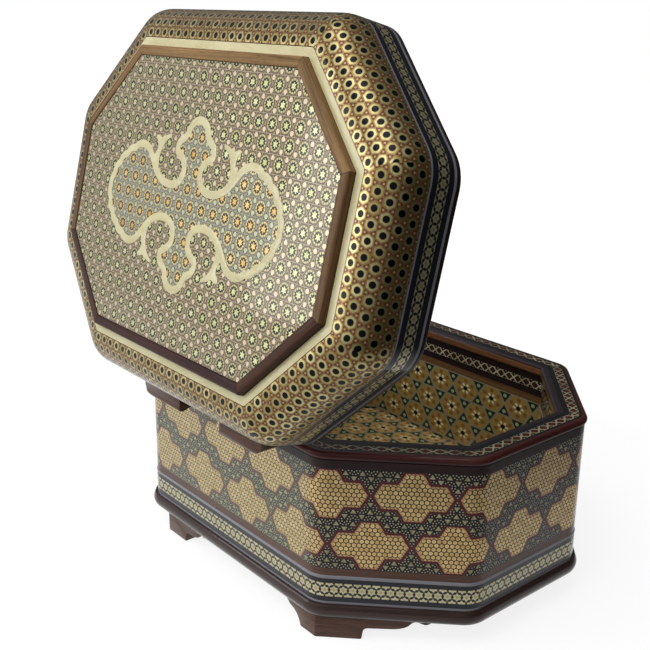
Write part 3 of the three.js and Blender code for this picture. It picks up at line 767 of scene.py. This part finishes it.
def field_material():
    """Orange and gold flowers on violet grey with pale green drops."""
    tones = ("868270", "B2AC94", "343C2C", "B6B89C", "CABA86", "3A3014", "C89A4C", "E6CA8A")
    return flower_material("cartouche_marquetry", FIELD_ORIGIN, tones, 1.0, 0.4)


def lining_material(name, phase, row_origin, low, high):
    """Large gold flowers in grey hexagon bands, with dark green triangles between."""
    net, u, v = mapped(name)
    x, y, _, _ = hexes(u - phase, v - row_origin, FLOWER_PITCH, FLOWER_ROW)
    toward, across = to_vertex(x, y)
    speck = net.noise((u, v), 1.6, 1.0)
    along = x - 0.145
    petal = (along * along + y * y * 1.9).less(0.0034)
    flower = toward.less(0.395)
    gold = net.mix(speck, low, high)
    gold = net.mix(near(toward, across, 0.07, 0.29) * 0.6, gold, "7A4420")
    grid = net.mix(speck, "8A846C", "BEB69A")
    dark = net.mix(near(toward, across, 0.065, VERTEX), "1C2A1C", "B8C8A0")
    dark = net.mix((toward - 0.465).less(0.012), dark, "4E5E44")
    colour = net.mix(toward.less(0.45), dark, grid)
    colour = net.mix(flower, colour, gold)
    colour = net.mix(petal, colour, "FFFACC")
    colour = net.mix(near(x, y, 0.078), colour, "15120C")
    return net.varnished(colour, u, v, 0.4, flower * (1.0 - petal) * 0.3)


def cross_strip(net, u, v, low, high, pitch, square, cream):
    """Pale crosses with dark lozenges between, on a strip from low to high."""
    middle = (low + high) / 2
    half = (high - low) / 2
    x = ((u / pitch).wrap(1.0) - 0.5).size() * 2.0
    y = ((v - middle) / half).size()
    arm = (x - y * 0.9).size().less(0.19)
    knot = (x + y).less(0.36)
    side = (x - y * 0.9).more(0.0)
    chance = net.chance((u / pitch).floor(), 0.0, 3.0)
    cross = net.mix(chance, *cream)
    ground = net.mix(side, "110F0D", square)
    dotted = y.more(0.86) * net.math("SINE", u * (math.tau * 3 / pitch)).more(0.0)
    ground = net.mix(dotted, ground, cross)
    return net.mix(arm.most(knot), ground, cross), v.more(low) * v.less(high)


def wood_colours(net, u, v, dark, light, seed=0.0):
    """Straight grain along u with pores and slow bands of tone."""
    grain = net.noise((u * 0.012, v * 0.55, seed), 1.0, 5.0, 0.6, 0.5)
    streak = net.noise((u * 0.05, v * 3.2, seed + 5.0), 1.0, 3.0, 0.6, 0.3)
    pores = net.noise((u * 0.16, v * 5.5, seed + 9.0), 1.0, 2.0, 0.5, 0.0)
    tone = net.ramp(grain * 0.7 + streak * 0.3, [(0.32, dark), (0.68, light)])
    hole = pores.more(0.60)
    deep = [part * 0.35 for part in rgb(dark)[:3]] + [1.0]
    return net.mix(hole * 0.45, tone, deep), streak - hole * 0.4


def frame_material():
    """Walnut of the raised frame, dark low on the left and light at the top, piece by piece: painted
    shade and painted light by which way each piece faces.
    """
    net, u, v = mapped("frame_walnut")
    side = (u / SIDE_STRIDE + 0.5).floor()
    # Painted light: a shaded and a lit walnut are mixed by which way each piece faces
    turn = net.math("COSINE", (side - 4.9) * EIGHTH)
    dark, height = wood_colours(net, u, v, "240E0D", "4C2822", 7.0)
    light, _ = wood_colours(net, u, v, "5A4024", "B48E5C", 7.0)
    colour = net.mix((turn * 0.55 + 0.45).most(0.0), dark, light)
    return net.varnished(colour, u, v, 0.5, 0.0, 0.15, height, 0.09)


def wood_material(name, dark, light, seed=0.0, mapped=True, coat=1.0, rough=0.45):
    """Polished wood, with its grain along the ring or, for carved pieces, level on every face."""
    net = Net(name)
    if mapped:
        u, v = net.map_uv()
    else:
        x, y, z = net.map_object()
        u = x + y
        v = z + (x - y) * 0.06
    colour, height = wood_colours(net, u, v, dark, light, seed)
    return net.varnished(colour, u, v, rough, 0.0, coat, height, 0.09)


def border_material():
    """Strips under the rim inside: brown wood, dark band, crosses, dark band, brown wood."""
    dark_low = BORDER_LOW + 5.0
    cross_low = BORDER_LOW + 9.7
    cross_high = BORDER_LOW + 15.3
    dark_high = BORDER_LOW + 19.8
    net, u, v = mapped("lining_border_strips")
    brown, _ = wood_colours(net, u, v, "5E3E28", "94704A")
    dark, _ = wood_colours(net, u, v, "1A1116", "2A1D22")
    cream = ("A89C82", "D8D0B4")
    pitch = BORDER_CROSS_PITCH
    crosses, inside = cross_strip(net, u - 2.5, v, cross_low, cross_high, pitch, "3A2018", cream)
    colour = net.mix(v.more(dark_low) * v.less(dark_high), brown, dark)
    colour = net.mix(inside, colour, crosses)
    colour = net.mix((v - dark_high).size().less(0.25), colour, "141014")
    return net.varnished(colour, u, v)


def rim_inlay_material():
    """Crosses and dark red squares beside a band of black lacquer."""
    net, u, v = mapped("rim_strip")
    low = INLAY_START + 1.3
    high = INLAY_START + 6.9
    cream = ("8E8468", "C8BC98")
    crosses, inside = cross_strip(net, u, v, low, high, CROSS_PITCH, "4E1614", cream)
    colour = net.mix(inside, "14141B", crosses)
    return net.varnished(colour, u, v)


def rim_material():
    """Reddish wood on the rounded edge, purple-brown on top, brown inside, by the way round the rim."""
    coat_start = 5.5
    edge_end = 9.0
    lip_end = 26.5
    net, u, v = mapped("rim_wood")
    red, height = wood_colours(net, u, v, "260D10", "66302A", 2.0)
    dark, _ = wood_colours(net, u, v, "1E151B", "3E2E36", 4.0)
    brown, _ = wood_colours(net, u, v, "6A4228", "A8764C", 6.0)
    colour = net.mix(v.more(edge_end), red, dark)
    colour = net.mix(v.more(lip_end), colour, brown)
    coat = v.more(coat_start) * 0.7 + 0.3
    return net.varnished(colour, u, v, 0.42, 0.0, coat, height, 0.09)


def bone_material():
    """Polished bone, clouded and with fibres along it."""
    net, u, v = mapped("polished_bone")
    cloud = net.noise((u * 0.05, v * 0.12), 1.0, 4.0)
    fibre = net.noise((u * 0.3, v * 2.2), 1.0, 3.0)
    stops = [(0.3, "CCC08E"), (0.55, "E0D8AC"), (0.75, "ECE4C2")]
    colour = net.ramp(cloud * 0.6 + fibre * 0.4, stops)
    return net.varnished(colour, u, v, 0.4, 0.0, 0.8, fibre)


def brass_material():
    """Worn brass with fine scratches along X."""
    net = Net("worn_brass")
    x, y, z = net.map_object()
    cloud = net.noise((x * 0.12, y * 0.12, z * 0.12), 1.0, 4.0)
    scratch = net.noise((x * 0.4, y * 6.0, z * 6.0), 1.0, 2.0)
    colour = net.ramp(cloud, [(0.3, "7A5C28"), (0.6, "B8944C")])
    bump = net.bump(scratch, 0.15, 0.0001)
    rough = scratch * 0.25 + 0.2
    return net.surface({"Base Color": colour, "Metallic": 1.0, "Roughness": rough, "Normal": bump})


def wall_sheet(name, low, high, material):
    """A veneer round the walls between two levels."""
    profile = section(WALL_IN, WALL_IN + VENEER, low, high)
    return ring(name, profile, BASE_R, material, start=low)


def star_band():
    """The star band round the foot of the walls, with its upper edge broken."""
    edges = (MOULD_TOP + 1.4, BAND_TOP - 1.9)
    stars = (MOULD_TOP + 4.5, MOULD_TOP + 13.0)
    material = band_material("base_star_band", edges, stars, 0.9)
    inner = WALL_IN + VENEER
    worn = 0.2
    profile = [(BAND_IN, MOULD_TOP), (BAND_IN, BAND_TOP - worn), (BAND_IN + worn, BAND_TOP)]
    profile += [(inner, BAND_TOP), (inner, MOULD_TOP)]
    obj = ring("star_band", profile, BASE_R, material, start=MOULD_TOP)
    stands_for("inlay_band")


def wood_strips():
    """The brown strip under the wall's marquetry and the dark one over it."""
    brown_wood = wood_material("brown_wood", "40261E", "6E4C38", 6.0)
    brown = wall_sheet("brown_strip", BAND_TOP, KHATAM_LOW, brown_wood)
    stands_for("lower_strip")
    dark_wood = wood_material("wall_dark_wood", "180A0D", "3A1C1E", 3.0, coat=0.6)
    dark = wall_sheet("dark_strip", KHATAM_HIGH, WALL_TOP, dark_wood)
    stands_for("upper_strip")


def foot_moulding(material):
    """The rounded moulding on the feet, fullest below its middle."""
    steps = 12
    inner = WALL_IN + VENEER
    profile = [(inner, FOOT_TOP)]
    for k in range(steps + 1):
        t = 1.0 - k / steps
        bulge = math.sin(math.pi * min(1.0, 0.12 + 0.82 * t)) ** 0.6
        inset = BAND_IN + (MOULDING_IN - BAND_IN) * bulge
        profile.append((inset, MOULD_TOP - (MOULD_TOP - FOOT_TOP) * t))
    profile.append((inner, MOULD_TOP))
    obj = ring("foot_moulding", profile, BASE_R, material, smooth=50.0)
    stands_for("base_moulding")


def inside_linings():
    """The strips under the rim inside, the flowered walls below them and the flowered floor."""
    back = BORDER_IN - BORDER_THICKNESS
    profile = section(BORDER_IN, back, BORDER_LOW, WALL_TOP)
    strips = ring("border_strips", profile, 0.0, border_material(), start=BORDER_LOW, steps=1)
    stands_for("lining_border")
    profile = section(LINING_IN, back, FLOOR_TOP, BORDER_LOW)
    walls = lining_material("wall_lining_marquetry", FLOWER_PHASE, FLOWER_LEVEL, "8C682C", "EAC878")
    flowers = ring("flower_lining", profile, 0.0, walls, start=FLOOR_TOP, steps=1)
    stands_for("wall_lining")
    ground = lining_material("floor_marquetry", 0.0, 0.0, "C08A38", "FFE6A0")
    outline = corners(back - 0.1)
    floor = plate("flower_floor", [outline], FLOOR_TOP - FLOOR_LINING, FLOOR_TOP, ground)
    stands_for("floor_lining")


def hinge_pockets(obj, low, high, lid):
    """Cuts the places of the two hinge leaves out of a ring."""
    clearance = 0.3
    depth = 9.8
    over = 1.0
    bm = bmesh.new()
    for x in (-LEAF_MIDDLE, LEAF_MIDDLE):
        made = bmesh.ops.create_cube(bm, size=2.0)
        for vert in made["verts"]:
            px = x + vert.co.x * (LEAF_HALF + clearance)
            py = HALF_WIDTH + (over - depth) / 2 + vert.co.y * (over + depth) / 2
            pz = (low + high) / 2 + vert.co.z * (high - low) / 2
            vert.co = placed(px, py, pz, lid)
    mesh = bpy.data.meshes.new("pocket_tool")
    bm.to_mesh(mesh)
    bm.free()
    tool = linked("pocket_tool", mesh)
    modifier = obj.modifiers.new("pockets", "BOOLEAN")
    modifier.operation = "DIFFERENCE"
    modifier.solver = "EXACT"
    modifier.object = tool
    bpy.context.view_layer.update()
    done = bpy.data.meshes.new_from_object(obj.evaluated_get(bpy.context.evaluated_depsgraph_get()))
    obj.modifiers.clear()
    old = obj.data
    obj.data = done
    bpy.data.meshes.remove(old)
    bpy.data.objects.remove(tool)
    bpy.data.meshes.remove(mesh)


def arc(middle, level, radius, first, last, steps):
    """Part of a circle as insets and levels, by angles counted from straight up towards the inside."""
    points = []
    for k in range(steps + 1):
        angle = first + (last - first) * k / steps
        points.append((middle + radius * math.sin(angle), level + radius * math.cos(angle)))
    return points


def rim_frame():
    """The rim with its rounded edge and lip, and the strip of crosses let into its top."""
    inner = INLAY_START + INLAY_WIDTH
    bed = RIM_TOP - INLAY_DEPTH
    profile = arc(RIM_IN + NOSE, WALL_TOP + NOSE, NOSE, -math.pi, 0.0, 12)
    profile += [(INLAY_START, RIM_TOP), (INLAY_START, bed), (inner, bed), (inner, RIM_TOP)]
    profile += arc(RIM_INNER - RIM_LIP, RIM_TOP - RIM_LIP, RIM_LIP, 0.0, math.pi / 2, 5)
    profile.append((RIM_INNER, WALL_TOP))
    rim = ring("rim", profile, BASE_R, rim_material(), smooth=40.0)
    pocket = (RIM_TOP - POCKET_DEPTH, RIM_TOP + 1)
    hinge_pockets(rim, *pocket, False)
    stands_for("rim_frame")
    low = INLAY_START + INLAY_FIT
    high = inner - INLAY_FIT
    profile = [(low, RIM_TOP), (high, RIM_TOP), (high, bed), (low, bed)]
    inlay = ring("rim_crosses", profile, BASE_R, rim_inlay_material(), start=low)
    hinge_pockets(inlay, *pocket, False)
    stands_for("rim_inlay")


def lid_edge():
    """The lid's lowest ring, rounded outside."""
    shape = [(1.2, 0.0), (0.5, 0.3), (0.1, 0.9), (0.0, 1.6), (0.0, 2.6), (0.15, 3.2), (0.5, LID_EDGE)]
    shape += [(RIM_INNER, LID_EDGE), (RIM_INNER, 0.6), (RIM_INNER - 0.5, 0.1), (RIM_INNER - 1.1, 0.0)]
    profile = [(inset, LID_BOTTOM + rise) for inset, rise in shape]
    wood = wood_material("lid_dark_wood", "12090B", "2E1A1B", 3.0)
    obj = ring("lid_edge", profile, LID_R, wood, lid=True, smooth=40.0)
    hinge_pockets(obj, LID_BOTTOM - 1, LID_BOTTOM + POCKET_DEPTH, True)
    stands_for("lid_rim")


def lid_band():
    """The star band round the lid, over its lowest ring."""
    edges = (LID_EDGE + 1.8, LID_BAND_TOP - 1.2)
    stars = (LID_EDGE + 5.5, LID_BAND_TOP - 4.9)
    material = band_material("lid_star_band", edges, stars, 1.4)
    start = LID_EDGE + 0.1
    low = LID_BOTTOM + start
    high = LID_BOTTOM + LID_BAND_TOP
    obj = ring("lid_band", section(0.0, VENEER, low, high), LID_R, material, lid=True, start=start)
    stands_for("lid_inlay_band")


def shoulder_curve(depth, steps):
    """The lid's rounded shoulder from its band up to the bone border, or a line that deep under it."""
    points = []
    for k in range(steps + 1):
        angle = math.pi / 2 * k / steps
        run = 1.0 - max(math.cos(angle), 0.0) ** FULLNESS
        rise = SHOULDER_RISE * math.sin(angle) ** FULLNESS
        inset = SHOULDER_IN * run + depth * math.cos(angle)
        points.append((inset, LID_BOTTOM + LID_BAND_TOP + rise - depth * math.sin(angle)))
    return points


def lid_dome():
    """The marquetry skin of the rounded shoulder."""
    profile = shoulder_curve(0.0, 18) + shoulder_curve(VENEER, 6)[::-1]
    skin = shoulder_material()
    obj = ring("lid_dome", profile, LID_R, skin, lid=True, start=LID_BAND_TOP, smooth=45.0)
    stands_for("lid_shoulder")


def bone_line(material):
    """The flat bone border round the raised frame."""
    inner = FRAME_IN - SEAM
    low = LID_TOP - INSET_DEPTH
    profile = [(BONE_IN, LID_TOP), (inner, LID_TOP), (inner, low), (BONE_IN, low)]
    obj = ring("bone_line", profile, LID_R, material, lid=True)
    stands_for("bone_border")


def panel_frame():
    """The raised frame of eight mitred pieces, more rounded outside than inside."""
    inner = PANEL_IN - SEAM
    low = LID_TOP - INSET_DEPTH
    top = LID_TOP + FRAME_PROUD
    profile = [(FRAME_IN, low), (FRAME_IN, top - 1.5), (FRAME_IN + 0.15, top - 0.8)]
    profile += [(FRAME_IN + 0.6, top - 0.25), (FRAME_IN + 1.3, top), (inner - 0.6, top)]
    profile += [(inner - 0.2, top - 0.15), (inner, top - 0.5), (inner, low)]
    obj = mitred("panel_frame", profile, frame_material(), lid=True, smooth=50.0)
    stands_for("raised_frame")


def bezier(p0, p1, p2, p3, steps):
    """Points of a curve after its first one."""
    out = []
    for k in range(1, steps + 1):
        t = k / steps
        weights = [(1 - t) ** 3, 3 * t * (1 - t) ** 2, 3 * t * t * (1 - t), t ** 3]
        out.append(tuple(sum(w * c for w, c in zip(weights, line)) for line in zip(p0, p1, p2, p3)))
    return out


def trace(start, strokes):
    """An outline from its start. A stroke gives its end, after one or two handles where it bends."""
    points = [start]
    for *handles, end in strokes:
        last = points[-1]
        if len(handles) == 2:
            points += bezier(last, *handles, end, 12)
        elif handles:
            pair = [[a + (b - a) * 2 / 3 for a, b in zip(p, handles[0])] for p in (last, end)]
            points += bezier(last, *pair, end, 8)
        else:
            points.append(end)
    return points


def cartouche_outline():
    """The scrolled outline in the middle of the lid, drawn for one quarter and mirrored twice."""
    x = CARTOUCHE_LONG
    y = CARTOUCHE_SHORT
    strokes = [
        ((x + 1, 4.5), (x - 2.5, 7.5)),
        ((x - 2, 12.5), (x - 7, 14.5)),
        ((x - 8, 19.5), (x - 13.5, 20.5)),
        ((x - 16, 25), (x - 21.5, 25)),
        ((x - 25.5, 29.5), (x - 33.5, 29), (x - 38, 25.5)),
        ((40, 21), (35, 9.5), (20.5, 9.3)),
        ((11, 9.2), (6.8, 15), (8.2, 20.5)),
        ((9.5, 25.5), (14, 25.5), (17.5, y - 18)),
        ((18, y - 12.5), (12.5, y - 10.5)),
        ((9.5, y - 8.5), (8.5, y - 5)),
        ((6, y - 0.2), (0.0, y)),
    ]
    points = trace((x, 0.0), strokes)
    half = points + [(-px, py) for px, py in reversed(points[:-1])]
    return half + [(px, -py) for px, py in reversed(half[1:-1])]


def leaf_outline():
    """One of the four small forked leaves between the scrolls."""
    strokes = [
        ((36.5, 22), (33.2, 28.5)),
        ((30.5, 33), (25.5, 35)),
        ((26.0, 36.8),),
        ((32, 35.4), (35.5, 33.6)),
        ((38, 35.5), (41, 34.6)),
        ((41.0, 33.0),),
        ((37.5, 30.5), (38.2, 27)),
        ((39, 24), (42, 22.5)),
    ]
    return trace((33.2, 14.0), strokes)[::-1]


def moved(points, distance):
    """A closed outline moved outwards."""
    out = []
    count = len(points)
    for i in range(count):
        px, py = points[i - 1]
        nx, ny = points[(i + 1) % count]
        x, y = points[i]
        length = math.hypot(nx - px, ny - py)
        out.append((x + (ny - py) / length * distance, y - (nx - px) / length * distance))
    return out


def lid_panel(bone):
    """The panel in the raised frame, the cartouche's field, its bone line and its leaves."""
    bottom = LID_TOP - INSET_DEPTH
    low = PANEL_TOP - INSET_DEPTH
    panel_top = PANEL_TOP - 0.05
    line_top = PANEL_TOP + 0.1
    leaf_top = PANEL_TOP + 0.08
    edge = cartouche_outline()
    panel = plate("star_panel", [corners(PANEL_IN)], bottom, panel_top, panel_material(), lid=True)
    stands_for("lid_panel")
    inner = moved(edge, -BONE_HALF)
    field = plate("cartouche_stars", [inner], low, PANEL_TOP, field_material(), lid=True)
    stands_for("cartouche_field")
    lines = [moved(edge, BONE_HALF), inner]
    line = plate("cartouche_line", lines, low, line_top, bone, lid=True, soften=0.08)
    stands_for("cartouche_border")
    for number, (sx, sy) in enumerate([(1, 1), (-1, 1), (-1, -1), (1, -1)], 1):
        shape = [(sx * x, sy * y) for x, y in leaf_outline()]
        name = f"cartouche_leaf_{number}"
        leaf = plate(name, [shape], low, leaf_top, bone, lid=True, soften=0.05)


def carved_pieces():
    """The feet and the two stops under the open lid, in walnut with worn edges."""
    walnut = wood_material("carved_walnut", "2A140F", "76503C", 8.0, mapped=False, coat=0.7)
    for node in nodes:
        if node.startswith("foot_") or node.startswith("lid_stop"):
            obj = softened("carved_" + node, node, walnut, 0.5)


def frame_pieces():
    """The boards, hinges and lid linings are the frame's own, in finer materials."""
    board = wood_material("board_wood", "7A5838", "A8825A", 4.0, mapped=False, coat=0.0, rough=0.6)
    inner = wood_material("lid_lining_wood", "46291C", "86583A", 5.0, mapped=False)
    brass = brass_material()
    boards = ("wall_board", "lid_board", "bottom_board", "lid_top_board")
    for starts, material in ((boards, board), ("hinge", brass), ("lid_lining", inner)):
        for name in nodes:
            if name.startswith(starts):
                materials = nodes[name].data.materials
                materials.clear()
                materials.append(material)


def make_camera():
    """Behind the box and to its left, a little above, aimed at a point aside of its middle."""
    azimuth = math.radians(229.71)
    elevation = math.radians(17.87)
    roll = math.radians(0.78)
    distance = 648.56
    aside = -23.46
    height = 143.22
    focal = 992.26
    pixels = 650.0
    sensor = 36.0
    turn = Matrix.Rotation(azimuth, 4, "Z") @ Matrix.Rotation(math.pi / 2 - elevation, 4, "X")
    eye = turn @ Vector((aside, 0, distance)) + Vector((0, 0, height))
    data = bpy.data.cameras.new("camera")
    data.sensor_width = sensor
    data.lens = sensor * focal / pixels
    data.clip_start = 0.01
    data.clip_end = 50.0
    camera = linked("camera", data)
    camera.matrix_world = Matrix.Translation(placed(*eye)) @ turn @ Matrix.Rotation(roll, 4, "Z")
    bpy.context.scene.camera = camera


def studio_floor():
    """Seen white under the box's soft shadow. What it gives the box fades to the front and left."""
    half = 4.0
    low = -0.0002
    shadow_grey = 0.28
    plain_grey = 0.45
    mesh = bpy.data.meshes.new("studio_floor")
    points = [(-half, -half, low), (half, -half, low), (half, half, low), (-half, half, low)]
    mesh.from_pydata(points, [], [(0, 1, 2, 3)])
    obj = linked("studio_floor", mesh)
    net = Net("studio_floor")
    x, y, _ = net.map_object()
    reach = (x * x + y * y).root()
    white = net.new("ShaderNodeEmission")
    net.put(white.inputs[1], (reach * 0.0002 + 0.78).most(0.84).least(1.0))
    shadow = net.new("ShaderNodeBsdfDiffuse")
    shadow.inputs[0].default_value = (shadow_grey, shadow_grey, shadow_grey, 1)
    seen = net.new("ShaderNodeAddShader")
    net.put(seen.inputs[0], white.outputs[0])
    net.put(seen.inputs[1], shadow.outputs[0])
    fade = (x * 0.0012 + y * 0.0004 - reach * 0.0012 + 1.2).most(0.05).least(1.0)
    mirrored = net.new("ShaderNodeEmission")
    net.put(mirrored.inputs[1], fade)
    plain = net.new("ShaderNodeBsdfDiffuse")
    net.put(plain.inputs[0], net.point(fade * plain_grey, fade * plain_grey, fade * plain_grey))
    unseen = net.blend(net.ray("Glossy"), plain, mirrored)
    net.finish(net.blend(net.seen(), unseen, seen))
    mesh.materials.append(net.material)


def studio_world():
    """White to the camera. Its light is full from behind and above and weak from the left."""
    world = bpy.data.worlds.new("studio")
    bpy.context.scene.world = world
    world.use_nodes = True
    net = Net("studio", world.node_tree)
    coordinates = net.new("ShaderNodeTexCoord")
    x, y, z = net.parts(coordinates.outputs["Generated"])
    fade = (x.least(0.0) * 0.4 + y * 0.5 + z * 0.25 + 0.34).most(0.05).least(0.9)
    ground = net.new("ShaderNodeBackground")
    net.put(ground.inputs[0], "FFFFFF")
    net.put(ground.inputs[1], fade.most(net.seen()))
    net.finish(ground, "ShaderNodeOutputWorld")


def softbox(name, place, aim, size, power):
    """A square lamp that faces a point."""
    data = bpy.data.lights.new(name, "AREA")
    data.size = size
    data.energy = power
    lamp = linked(name, data)
    lamp.location = place
    direction = Vector(aim) - Vector(place)
    lamp.rotation_euler = direction.to_track_quat("-Z", "Y").to_euler()


khatam_walls = wall_sheet("khatam_walls", KHATAM_LOW, KHATAM_HIGH, wall_material())
stands_for("wall_khatam")
star_band()
wood_strips()
foot_moulding(wood_material("moulding_walnut", "1E110E", "49302A", 1.0))
inside_linings()
rim_frame()
lid_edge()
lid_band()
lid_dome()
polished_bone = bone_material()
bone_line(polished_bone)
panel_frame()
lid_panel(polished_bone)
carved_pieces()
frame_pieces()

make_camera()
studio_floor()
studio_world()
softbox("top_light", (-0.2, 0.9, 1.6), (0, 0, 0.15), 1.2, 9.0)
softbox("back_light", (0.66, 1.07, 0.5), (-0.12, 0.12, 0.28), 0.6, 4.0)

bpy.context.scene.view_settings.view_transform = "Standard"
bpy.context.view_layer.update()
